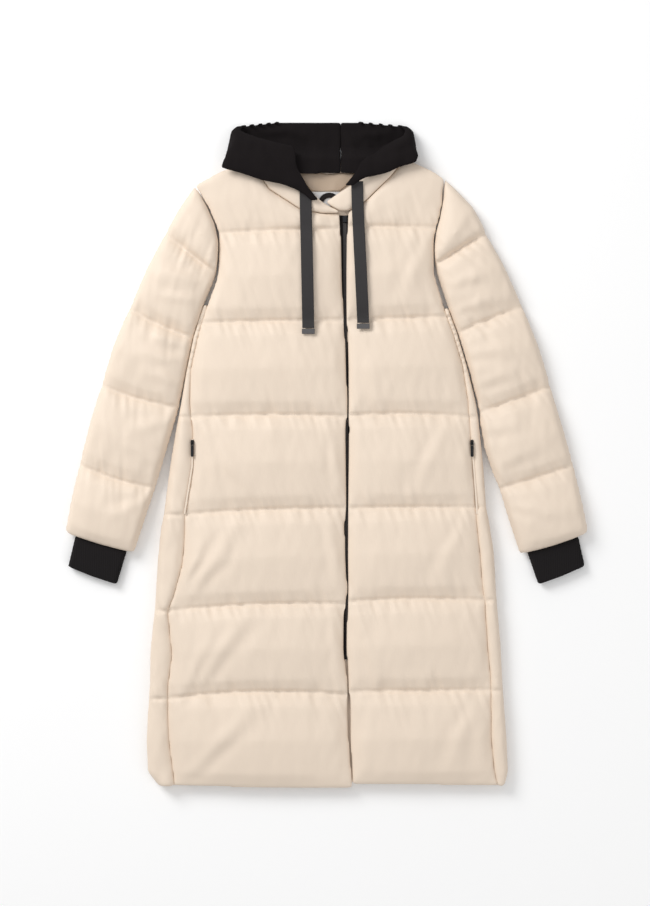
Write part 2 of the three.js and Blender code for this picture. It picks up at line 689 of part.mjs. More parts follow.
/** A quilted sleeve lying flat, its two layers a thin slit apart inside. */
function makeSleeve(name, table, side) {
  const channels = (table.length - 1) / 2;
  const outward = Math.sign(table[0].outX);
  const clear = (x, y) => outward * Math.max(Math.abs(x), Math.abs(columnAt(side, y, 'edge')) + SLEEVE_CLEAR);
  const outer = [];
  const inner = [];
  for (const { channel, t } of channelRows(channels)) {
    const plan = (s) => {
      const p = sleevePlan(table, channel, t, s);
      if (channel > 0 || t > 0) return { x: clear(p.x, p.y), y: p.y };
      const y = lerp(table[0].outY, table[0].inY, s);
      return { x: columnAt(side, y, 'edge') + outward * SLEEVE_CLEAR, y };
    };
    const full = fullness(t);
    const top = (s) => SLEEVE_SEAM + SLEEVE_CROWN * full * fullnessAcross(s) - 2 * (1 - fullnessAcross(s));
    const groove = t === 0 || t === 1 ? BACK_GROOVE : 0;
    const bottom = (s) => (s < 0.1 || s > 0.9 ? 3 : groove);
    outer.push(flatRing(plan, SLEEVE_STEPS, top, bottom, EDGE_LEVEL, 1));
    inner.push(flatRing(plan, SLEEVE_STEPS, () => EDGE_LEVEL + SLEEVE_SLIT,
      () => EDGE_LEVEL - SLEEVE_SLIT, EDGE_LEVEL, 0.86));
  }
  return hollowThrough(name, outer, inner, SHELL);
}

/** A knit storm cuff, flattened, that comes out of the end of a sleeve. */
function makeCuff(name, sleeve, foot) {
  const hem = sleeve.length - 1;
  const start = (s) => {
    const p = sleeveRow(sleeve, hem, lerp(0.14, 0.89, s));
    return { x: p.x, y: p.y - 0.7 };
  };
  const end = (s) => ({
    x: lerp(foot.outX, foot.inX, s),
    y: lerp(foot.outY, foot.inY, s) - 4 * s * (1 - s) * 2,
  });
  const steps = [0.06, 0.5, 0.94];
  const rings = (half, shrink) => [0, 0.5, 1].map((t) => {
    const plan = (s) => {
      const a = start(s);
      const b = end(s);
      return { x: lerp(a.x, b.x, t), y: lerp(a.y, b.y, t) };
    };
    return flatRing(plan, steps, () => CUFF_LEVEL + half, () => CUFF_LEVEL - half, CUFF_LEVEL, shrink);
  });
  return hollowThrough(name, rings(CUFF_HALF, 1), rings(CUFF_SLIT, 0.84), RIB_KNIT);
}

// ---------------------------------------------------------------------------------------------
// Hood, collar and what shows inside the neck
// ---------------------------------------------------------------------------------------------

/** Half of the hood: cloth from the free front edge, round the fold and back underneath. */
function makeHood(name, table) {
  const outward = Math.sign(table[0].fold);
  const rings = table.map((row) => {
    const w = HOOD_WALL;
    const width = Math.abs(row.fold - row.flap);
    const turn = Math.min(10, width * 0.35);
    const side = (d) => row.fold - outward * d;
    const midZ = lerp(row.foldZ, row.topZ, 0.5);
    const under = row.foldZ;
    const section = [
      [row.flap, row.topZ - 2],
      [lerp(row.flap, row.fold, 0.5), row.topZ],
      [side(turn), row.topZ - 1],
      [row.fold, midZ],
      [side(turn), under],
      [row.seam, row.seamZ],
      [row.seam, row.seamZ + w],
      [side(turn + w * 0.4), under + w],
      [side(w), midZ],
      [side(turn + w * 0.4), row.topZ - 1 - w],
      [lerp(row.flap, row.fold, 0.5), row.topZ - w],
      [row.flap, row.topZ - 2 - w],
    ];
    return section.map(([x, z]) => new THREE.Vector3(x, row.y, z));
  });
  return solidThrough(name, rings, JERSEY);
}

/** One side of the stand collar, from its foot on the neck seam to its free edge. */
function makeCollar(name, table, neck) {
  const steps = [0, 0.3, 0.7, 1];
  const rise = [3, 0, 0, 2];
  const plan = table.map((row) => steps.map((u) => ({
    x: lerp(row.footX, row.topX, u),
    y: lerp(heightOver(neck, row.footX) + COLLAR_CLEAR, row.topY, u),
  })));
  const upper = plan.map((line) => line.map((p, i) => new THREE.Vector3(p.x, p.y, COLLAR_TOP - rise[i])));
  const lower = plan.map((line) => line.map((p) => new THREE.Vector3(p.x, p.y, COLLAR_FOOT)));
  return panel(name, upper, lower, SHELL);
}

/** A flat piece: an outline in plan, raised from one height to another. */
function flatPiece(name, outline, bottom, thickness, material) {
  const shape = new THREE.Shape(outline.map(([x, y]) => new THREE.Vector2(x, y)));
  const geometry = new THREE.ExtrudeGeometry(shape, { depth: thickness, bevelEnabled: false });
  const mesh = new THREE.Mesh(geometry, material);
  mesh.name = name;
  mesh.position.z = bottom;
  return mesh;
}

/** The back of the collar, under the hood. */
function makeCollarBack() {
  const outline = [[-82, 502], [-60, 500], [0, 498.5], [60, 500], [82, 502],
    [82, 513], [60, 513], [0, 512], [-60, 513], [-82, 513]];
  return flatPiece('collar_back', outline, 17.2, 1.6, SHELL);
}

/** Satin facing below the hood, inside the back of the neck. */
function makeLining() {
  const outline = [[-62, 506], [-28, 499], [0, 492], [30, 494], [54, 494],
    [38, 474], [22, 462], [-4, 463], [-27, 463], [-44, 480]];
  return flatPiece('neck_lining', outline, BACK_INSIDE + 1.6, 1.8, SATIN);
}

/** The neck label, left bare. */
function makeLabel() {
  const outline = [[-32, 436], [30, 436], [30, 461.4], [-32, 461.4]];
  return flatPiece('neck_label', outline, BACK_INSIDE + LAY_GAP, 0.8, LABEL);
}

/** The hanger loop: a curved tape that stands out below the facing. */
function makeHangerLoop() {
  const outer = 20;
  const inner = 11;
  const centre = { x: 5, y: 440 };
  const from = 0.12 * Math.PI;
  const to = 1.04 * Math.PI;
  const steps = 10;
  const arc = (radius, a, b) => Array.from({ length: steps + 1 }, (_, i) => {
    const angle = lerp(a, b, i / steps);
    return [centre.x + radius * Math.cos(angle), centre.y + radius * Math.sin(angle)];
  });
  const outline = [...arc(outer, from, to), ...arc(inner, to, from)];
  return flatPiece('hanger_loop', outline, BACK_INSIDE + 1.6, 1.2, TAPE);
}

// ---------------------------------------------------------------------------------------------
// Front zip
// ---------------------------------------------------------------------------------------------

const ZIP_TOP = 420;
const ZIP_FOOT = -360;

/** Middle line of the zip, half way between the two front edges where they lie level. */
const zipMiddle = (y) => lerp(32, 37, (ZIP_TOP - y) / (ZIP_TOP - ZIP_FOOT));

/** A strip along the zip, between two distances from its middle. */
function zipStrip(name, from, to, bottom, thickness, material, top = ZIP_TOP, foot = ZIP_FOOT) {
  const outline = [
    [zipMiddle(top) + from, top],
    [zipMiddle(foot) + from, foot],
    [zipMiddle(foot) + to, foot],
    [zipMiddle(top) + to, top],
  ];
  return flatPiece(name, outline, bottom, thickness, material);
}

/** Two tapes, the chain on them and the slider at the neck. */
function makeFrontZip() {
  const chainBottom = TAPE_BOTTOM + TAPE_THICK + 0.3;
  const half = CHAIN_WIDTH / 2;
  const sliderTop = ZIP_TOP - 1;
  return [
    zipStrip('zip_tape_right', -TAPE_WIDTH, -0.2, TAPE_BOTTOM, TAPE_THICK, TAPE),
    zipStrip('zip_tape_left', 0.2, TAPE_WIDTH, TAPE_BOTTOM, TAPE_THICK, TAPE),
    zipStrip('zip_chain', -half, half, chainBottom, CHAIN_THICK, COIL, sliderTop - 12),
    zipStrip('zip_slider', -half - 0.6, half + 0.6, chainBottom, 4.2, BLACK_METAL, sliderTop,
      sliderTop - 11),
  ];
}

// ---------------------------------------------------------------------------------------------
// Pockets
// ---------------------------------------------------------------------------------------------

/** The narrow zip in a pocket's seam, which follows the seam. */
function makePocketZip(name, side) {
  const half = POCKET_STRIP_WIDTH / 2;
  const heights = [POCKET_TOP, 14, 1, -20, -41, -62, -83, POCKET_FOOT];
  const bottom = FRONT_SEAM + POCKET_STRIP_RISE;
  const grid = (z) => heights.map((y) => [-half, half].map((d) =>
    new THREE.Vector3(columnAt(side, y, 'seam') + d, y, z)));
  return panel(name, grid(bottom + POCKET_STRIP_THICK), grid(bottom), SHELL);
}

const PLATE_BOTTOM = FRONT_SEAM + POCKET_STRIP_RISE + POCKET_STRIP_THICK + 0.3;
const PLATE_THICK = 1.4;
const PLATE_WIDTH = 5.6;
const PLATE_LENGTH = 9;
const BAIL_BOTTOM = PLATE_BOTTOM + PLATE_THICK + 0.3;
const BAIL_FOOT = 0.8;           // thickness of the bow under the pull's axis
const PIVOT_Z = BAIL_BOTTOM + BAIL_FOOT + 1.1;

/** The plate of a pocket slider, on its zip. */
function makePocketSlider(name, x, y) {
  const half = PLATE_WIDTH / 2;
  const end = PLATE_LENGTH / 2;
  const outline = [[x - half, y - end + 1], [x - half + 1, y - end], [x + half - 1, y - end],
    [x + half, y - end + 1], [x + half, y + end - 1], [x + half - 1, y + end],
    [x - half + 1, y + end], [x - half, y + end - 1]];
  return flatPiece(name, outline, PLATE_BOTTOM, PLATE_THICK, BLACK_METAL);
}

/** The bow on a pocket slider, round the axis that the pull turns on. */
function makePocketBail(name, x, y) {
  const foot = BAIL_BOTTOM - PIVOT_Z;
  const profile = new THREE.Shape();
  profile.moveTo(-BAIL_OUTER, foot);
  profile.lineTo(BAIL_OUTER, foot);
  profile.lineTo(BAIL_OUTER, 0);
  profile.absarc(0, 0, BAIL_OUTER, 0, Math.PI, false);
  profile.closePath();
  const eye = new THREE.Path();
  eye.moveTo(-BAIL_INNER, foot + BAIL_FOOT);
  eye.lineTo(BAIL_INNER, foot + BAIL_FOOT);
  eye.lineTo(BAIL_INNER, 0);
  eye.absarc(0, 0, BAIL_INNER, 0, Math.PI, false);
  eye.closePath();
  profile.holes.push(eye);
  const geometry = new THREE.ExtrudeGeometry(profile, {
    depth: BAIL_WIDTH, bevelEnabled: false, curveSegments: 6,
  });
  const bail = new THREE.Mesh(geometry, BLACK_METAL);
  bail.name = name;
  // The profile is drawn along the coat and up, and given its width across the coat.
  bail.rotation.set(Math.PI / 2, Math.PI / 2, 0);
  bail.position.set(x - BAIL_WIDTH / 2, y, PIVOT_Z);
  return bail;
}

/** A pocket's pull: a tab with an eye at its top, lying towards the hem. */
function makePocketPull(name, x, y) {
  const half = PULL_WIDTH / 2;
  const eyeHalf = PULL_EYE / 2;
  const bar = PULL_THICK / 2;
  const chamfer = 1.4;
  const tab = new THREE.Shape([
    [-half, bar], [half, bar], [half, -PULL_LENGTH + chamfer], [half - chamfer, -PULL_LENGTH],
    [-half + chamfer, -PULL_LENGTH], [-half, -PULL_LENGTH + chamfer],
  ].map(([px, py]) => new THREE.Vector2(px, py)));
  const eye = new THREE.Path([
    [-eyeHalf, -bar - 4.6], [eyeHalf, -bar - 4.6], [eyeHalf, -bar], [-eyeHalf, -bar],
  ].map(([px, py]) => new THREE.Vector2(px, py)));
  tab.holes.push(eye);
  const geometry = new THREE.ExtrudeGeometry(tab, {
    depth: PULL_THICK, bevelEnabled: false,
  });
  const pull = new THREE.Mesh(geometry, BLACK_METAL);
  pull.name = name;
  pull.position.set(x, y, PIVOT_Z - bar);
  return pull;
}

// ---------------------------------------------------------------------------------------------
// Drawstring
// ---------------------------------------------------------------------------------------------

/** A flat ribbon along its route, with chamfered edges. */
function makeRibbon(name, route) {
  const half = RIBBON_WIDTH / 2;
  const thin = RIBBON_THICK / 2;
  const cut = 0.4;
  const section = new THREE.Shape([
    [-half, -thin + cut], [-half + cut, -thin], [half - cut, -thin], [half, -thin + cut],
    [half, thin - cut], [half - cut, thin], [-half + cut, thin], [-half, thin - cut],
  ].map(([x, y]) => new THREE.Vector2(x, y)));
  const curve = new THREE.CatmullRomCurve3(route.map((p) => new THREE.Vector3(p.x, p.y, p.z)));
  const geometry = new THREE.ExtrudeGeometry(section, {
    steps: 22, extrudePath: curve, bevelEnabled: false,
  });
  const mesh = new THREE.Mesh(geometry, RIBBON);
  mesh.name = name;
  return mesh;
}

/** The moulded end of a ribbon, just past the last point of its route. */
function makeRibbonTip(name, route) {
  const end = route[route.length - 1];
  const bevel = 0.6;
  const half = TIP_WIDTH / 2 - bevel;
  const long = TIP_LENGTH - 2 * bevel;
  const outline = new THREE.Shape([[-half, 0], [half, 0], [half, -long], [-half, -long]]
    .map(([x, y]) => new THREE.Vector2(x, y)));
  const geometry = new THREE.ExtrudeGeometry(outline, {
    depth: TIP_THICK - 2 * bevel, bevelSize: bevel, bevelThickness: bevel, bevelSegments: 1,
  });
  const tip = new THREE.Mesh(geometry, TIP);
  tip.name = name;
  tip.position.set(end.x, end.y - bevel - 1.2, end.z - TIP_THICK / 2 + bevel);
  return tip;
}

// ---------------------------------------------------------------------------------------------
// The coat
// ---------------------------------------------------------------------------------------------

const coat = new THREE.Group();
coat.name = 'coat';

coat.add(makeBack());
coat.add(makeFront('front_right', RIGHT_EDGE, RIGHT_SEAMS, RIGHT_TOP, 'right'));
coat.add(makeFront('front_left', LEFT_EDGE, LEFT_SEAMS, LEFT_TOP, 'left'));
coat.add(makeSide('side_right', RIGHT_EDGE));
coat.add(makeSide('side_left', LEFT_EDGE));
coat.add(makeSleeve('sleeve_right', RIGHT_SLEEVE, RIGHT_EDGE));
coat.add(makeSleeve('sleeve_left', LEFT_SLEEVE, LEFT_EDGE));
coat.add(makeCuff('cuff_right', RIGHT_SLEEVE, RIGHT_CUFF));
coat.add(makeCuff('cuff_left', LEFT_SLEEVE, LEFT_CUFF));
coat.add(makeHood('hood_right', RIGHT_HOOD));
coat.add(makeHood('hood_left', LEFT_HOOD));
coat.add(makeCollar('collar_right', RIGHT_COLLAR, RIGHT_TOP));
coat.add(makeCollar('collar_left', LEFT_COLLAR, LEFT_TOP));
coat.add(makeCollarBack());
coat.add(makeLining());
coat.add(makeLabel());
coat.add(makeHangerLoop());
coat.add(...makeFrontZip());

for (const [hand, side] of [['right', RIGHT_EDGE], ['left', LEFT_EDGE]]) {
  const y = POCKET_TOP - 6;
  const x = columnAt(side, y, 'seam');
  coat.add(makePocketZip(`pocket_zip_${hand}`, side));
  coat.add(makePocketSlider(`pocket_slider_${hand}`, x, y));
  coat.add(makePocketBail(`pocket_bail_${hand}`, x, y));
  coat.add(makePocketPull(`pocket_pull_${hand}`, x, y));
}

for (const [hand, route] of [['right', RIGHT_RIBBON], ['left', LEFT_RIBBON]]) {
  coat.add(makeRibbon(`drawstring_${hand}`, route));
  coat.add(makeRibbonTip(`drawstring_tip_${hand}`, route));
}

export default coat;
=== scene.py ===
"""Looks of a long quilted coat with a jersey hood, laid flat with its front up.

Metres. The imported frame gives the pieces' places; the cloth is made from them, filled out, and
given the puckers along its quilting seams and the folds that it lies in.
"""

import logging
import math
from dataclasses import dataclass, field
from enum import Enum

import bmesh
import bpy
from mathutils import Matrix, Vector, noise


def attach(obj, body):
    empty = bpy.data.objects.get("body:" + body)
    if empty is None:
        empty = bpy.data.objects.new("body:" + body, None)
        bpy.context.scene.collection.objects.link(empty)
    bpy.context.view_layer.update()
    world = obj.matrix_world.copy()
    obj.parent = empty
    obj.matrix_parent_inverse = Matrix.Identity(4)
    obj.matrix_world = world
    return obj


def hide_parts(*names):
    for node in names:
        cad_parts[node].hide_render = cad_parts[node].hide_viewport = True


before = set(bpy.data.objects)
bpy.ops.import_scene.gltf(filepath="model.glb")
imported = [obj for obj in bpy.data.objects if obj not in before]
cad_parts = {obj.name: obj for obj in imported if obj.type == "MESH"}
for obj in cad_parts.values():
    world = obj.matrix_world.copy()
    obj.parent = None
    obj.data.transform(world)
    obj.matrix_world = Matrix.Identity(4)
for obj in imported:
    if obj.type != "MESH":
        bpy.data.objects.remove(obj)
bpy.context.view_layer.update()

LOG = logging.getLogger("coat")
MM = 0.001
COAT = "coat"


class Weave(Enum):
    """How a finish's surface is made, which sets its fine relief."""

    TAFFETA = "taffeta"
    JERSEY = "jersey"
    RIB = "rib"
    SATIN = "satin"
    TAPE = "tape"
    SMOOTH = "smooth"


@dataclass(frozen=True)
class Finish:
    """A material, worked out from a colour, a gloss and a weave."""

    name: str
    colour: tuple[float, float, float]
    roughness: float
    weave: Weave
    sheen: float = 0.0
    metallic: float = 0.0
    pitch: float = 0.0006
    relief: float = 0.3
    mottle: float = 0.05
    specular: float = 0.5

    def _bands(self, nodes: bpy.types.Nodes, links: bpy.types.NodeLinks, place: bpy.types.NodeSocket,
               direction: str) -> bpy.types.NodeSocket:
        """Even threads across one direction.

        Args:
            nodes: the material's nodes.
            links: the material's links.
            place: the coordinates that the threads follow.
            direction: "X" or "Y".

        Returns:
            The height of the threads.
        """
        wave = nodes.new("ShaderNodeTexWave")
        wave.wave_type = "BANDS"
        wave.bands_direction = direction
        wave.inputs["Scale"].default_value = 0.314 / self.pitch / 2
        wave.inputs["Distortion"].default_value = 0.4
        links.new(place, wave.inputs["Vector"])
        return wave.outputs["Fac"]

    def build(self) -> bpy.types.Material:
        """Makes the material.

        Returns:
            The new material.
        """
        material = bpy.data.materials.new(self.name)
        material.use_nodes = True
        nodes, links = material.node_tree.nodes, material.node_tree.links
        shader = nodes["Principled BSDF"]
        shader.inputs["Roughness"].default_value = self.roughness
        shader.inputs["Metallic"].default_value = self.metallic
        shader.inputs["Sheen Weight"].default_value = self.sheen
        shader.inputs["Sheen Roughness"].default_value = 0.4
        shader.inputs["Specular IOR Level"].default_value = self.specular
        place = nodes.new("ShaderNodeTexCoord").outputs["Object"]
        cloud = nodes.new("ShaderNodeTexNoise")
        cloud.inputs["Scale"].default_value = 14
        cloud.inputs["Detail"].default_value = 6
        links.new(place, cloud.inputs["Vector"])
        tone = nodes.new("ShaderNodeMix")
        tone.data_type = "RGBA"
        dark = tuple(c * (1 - self.mottle) for c in self.colour)
        light = tuple(min(c * (1 + self.mottle), 1) for c in self.colour)
        tone.inputs["A"].default_value = (*dark, 1)
        tone.inputs["B"].default_value = (*light, 1)
        links.new(cloud.outputs["Fac"], tone.inputs["Factor"])
        links.new(tone.outputs["Result"], shader.inputs["Base Color"])
        height = self._height(nodes, links, place)
        if height is not None:
            bump = nodes.new("ShaderNodeBump")
            bump.inputs["Strength"].default_value = self.relief
            bump.inputs["Distance"].default_value = self.pitch / 2
            links.new(height, bump.inputs["Height"])
            links.new(bump.outputs["Normal"], shader.inputs["Normal"])
        return material

    def _height(self, nodes: bpy.types.Nodes, links: bpy.types.NodeLinks,
                place: bpy.types.NodeSocket) -> bpy.types.NodeSocket | None:
        """Relief of the weave.

        Args:
            nodes: the material's nodes.
            links: the material's links.
            place: the coordinates that the weave follows.

        Returns:
            The height, or None for a smooth finish.
        """
        if self.weave is Weave.SMOOTH:
            return None
        if self.weave is Weave.JERSEY:
            grain = nodes.new("ShaderNodeTexNoise")
            grain.inputs["Scale"].default_value = 0.6 / self.pitch
            grain.inputs["Detail"].default_value = 3
            links.new(place, grain.inputs["Vector"])
            return grain.outputs["Fac"]
        across = self._bands(nodes, links, place, "X")
        if self.weave is Weave.RIB:
            return across
        along = self._bands(nodes, links, place, "Y")
        both = nodes.new("ShaderNodeMath")
        both.operation = "ADD" if self.weave is Weave.TAPE else "MULTIPLY"
        links.new(across, both.inputs[0])
        links.new(along, both.inputs[1])
        return both.outputs[0]


SHELL = Finish("shell_fabric", (0.79, 0.665, 0.545), 0.55, Weave.TAFFETA, relief=0.12, mottle=0.02,
               specular=0.35)
JERSEY = Finish("hood_jersey", (0.0105, 0.0085, 0.0088), 0.95, Weave.JERSEY, pitch=0.001, relief=0.5,
                specular=0.08)
RIB = Finish("rib_knit", (0.0135, 0.012, 0.0125), 0.95, Weave.RIB, pitch=0.0016, relief=0.7, specular=0.1)
SATIN = Finish("lining_satin", (0.42, 0.315, 0.225), 0.32, Weave.SATIN, sheen=0.1, relief=0.1)
LABEL = Finish("label_woven", (0.66, 0.65, 0.65), 0.7, Weave.TAPE, relief=0.3)
TAPE = Finish("zip_tape", (0.017, 0.0135, 0.0135), 0.85, Weave.TAPE, relief=0.4, specular=0.15)
COIL = Finish("zip_coil", (0.03, 0.026, 0.026), 0.45, Weave.RIB, pitch=0.0009, relief=0.9)
RIBBON = Finish("drawstring_tape", (0.042, 0.0395, 0.0405), 0.7, Weave.TAPE, pitch=0.0007, relief=0.5,
                specular=0.15)
TIP = Finish("drawstring_tip", (0.078, 0.074, 0.076), 0.45, Weave.SMOOTH, mottle=0.03)
METAL = Finish("black_metal", (0.02, 0.02, 0.022), 0.35, Weave.SMOOTH, metallic=0.8, mottle=0.1)


@dataclass(frozen=True)
class Seam:
    """A quilting seam: a straight line between two points of the plan, bowed in its middle."""

    x0: float
    y0: float
    x1: float
    y1: float
    bow: float = 0.0

    def locate(self, x: float, y: float) -> tuple[float, float]:
        """Place of a point beside the seam.

        Args:
            x: the point, in millimetres.
            y: the point, in millimetres.

        Returns:
            Distance along the seam from its start, and distance up from it, in millimetres.
        """
        dx, dy = self.x1 - self.x0, self.y1 - self.y0
        length = math.hypot(dx, dy)
        if dx < 0:
            ux, uy = -dx / length, -dy / length
            px, py = x - self.x1, y - self.y1
        else:
            ux, uy = dx / length, dy / length
            px, py = x - self.x0, y - self.y0
        along = px * ux + py * uy
        s = min(max(along / length, 0), 1)
        return along, py * ux - px * uy - self.bow * 4 * s * (1 - s)


@dataclass(frozen=True)
class Fold:
    """A soft fold that lies in the cloth: a ridge with a trough on its lower side."""

    x0: float
    y0: float
    x1: float
    y1: float
    width: float
    height: float

    def lift(self, x: float, y: float) -> float:
        """Height that the fold adds at a point, all in millimetres."""
        dx, dy = self.x1 - self.x0, self.y1 - self.y0
        length = math.hypot(dx, dy)
        s = ((x - self.x0) * dx + (y - self.y0) * dy) / length**2
        if not -0.1 < s < 1.1:
            return 0.0
        wander = 5 * noise.noise(Vector((s * 3, self.x0, self.y0)))
        across = ((x - self.x0) * dy - (y - self.y0) * dx) / length
        across = (across + wander) / (self.width * (1.1 + 0.7 * s))
        ends = max(0.0, math.sin(math.pi * min(max((s + 0.1) / 1.2, 0), 1)))
        return 0.8 * self.height * ends * (math.exp(-across**2) - 0.8 * math.exp(-((across - 1.6) ** 2)))


@dataclass
class Cloth:
    """Cloth made over a solid of the frame: closed, smooth, puckered and folded."""

    node: str
    finish: Finish
    voxel: float = 0.0036
    rounds: int = 5
    seams: tuple[Seam, ...] = ()
    folds: tuple[Fold, ...] = ()
    pucker: float = 4.6
    ripple: float = 1.2
    plump: float = 0.6
    seed: float = 0.0

    def build(self, material: bpy.types.Material) -> bpy.types.Object:
        """Makes the piece.

        Args:
            material: what it is made of.

        Returns:
            The new object, which stands for the frame's solid.
        """
        piece = self._copy()
        self._fill_out(piece)
        self._shape(piece)
        piece.data.materials.clear()
        piece.data.materials.append(material)
        for polygon in piece.data.polygons:
            polygon.use_smooth = True
        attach(piece, COAT)
        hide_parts(self.node)
        LOG.info("%s: %d faces", piece.name, len(piece.data.polygons))
        return piece

    def _copy(self) -> bpy.types.Object:
        """A copy of the frame's solid, with its triangles merged."""
        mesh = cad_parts[self.node].data.copy()
        piece = bpy.data.objects.new(f"{self.node}_cloth", mesh)
        bpy.context.scene.collection.objects.link(piece)
        work = bmesh.new()
        work.from_mesh(mesh)
        bmesh.ops.remove_doubles(work, verts=work.verts, dist=1e-5)
        work.to_mesh(mesh)
        work.free()
        return piece

    def _fill_out(self, piece: bpy.types.Object) -> None:
        """Gives the piece even faces, small enough for its folds."""
        remesh = piece.modifiers.new("even", "REMESH")
        remesh.mode = "VOXEL"
        remesh.voxel_size = self.voxel
        graph = bpy.context.evaluated_depsgraph_get()
        mesh = bpy.data.meshes.new_from_object(piece.evaluated_get(graph))
        piece.modifiers.clear()
        piece.data = mesh
        work = bmesh.new()
        work.from_mesh(mesh)
        for _ in range(self.rounds):
            bmesh.ops.smooth_vert(work, verts=work.verts, factor=0.5, use_axis_x=True,
                                  use_axis_y=True, use_axis_z=True)
        work.to_mesh(mesh)
        work.free()

    def lift(self, x: float, y: float) -> float:
        """Height that seams, puckers and folds add at a point, all in millimetres."""
        total = self.ripple * noise.noise(Vector((x / 34, y / 75, self.seed)))
        total += 0.5 * self.ripple * noise.noise(Vector((x / 13, y / 30, self.seed + 9)))
        for i, seam in enumerate(self.seams):
            along, up = seam.locate(x, y)
            away = abs(up)
            if away > 90:
                continue
            tag = self.seed + i * 7.3 + (3.1 if up > 0 else 0)
            reach = 24 * (1 + 0.9 * noise.noise(Vector((along / 26, tag, 0))))
            crease = noise.noise(Vector(((along + 0.35 * up) / 9, tag, up / 70)))
            crease += 0.7 * noise.noise(Vector((along / 17, tag + 5, up / 60)))
            total += self.pucker * crease * math.exp(-away / reach) * (1 - math.exp(-away / 3))
            total -= 3.2 * math.exp(-((away / 3.4) ** 2))
        for fold in self.folds:
            total += fold.lift(x, y)
        return total

    def _shape(self, piece: bpy.types.Object) -> None:
        """Moves the upper face by its puckers and folds, and the under face by a little."""
        mesh = piece.data
        mesh.update()
        moves = []
        for vertex in mesh.vertices:
            normal = vertex.normal.copy()
            lift = self.lift(vertex.co.x / MM, vertex.co.y / MM) * max(normal.z, 0)
            moves.append(Vector((normal.x * self.plump, normal.y * self.plump, lift)) * MM)
        for vertex, move in zip(mesh.vertices, moves):
            vertex.co += move
        mesh.update()


def ring_seams(rows: list[tuple[float, float, float, float, float]]) -> tuple[Seam, ...]:
    """Seams from rows of start, end and bow, in millimetres."""
    return tuple(Seam(*row) for row in rows)


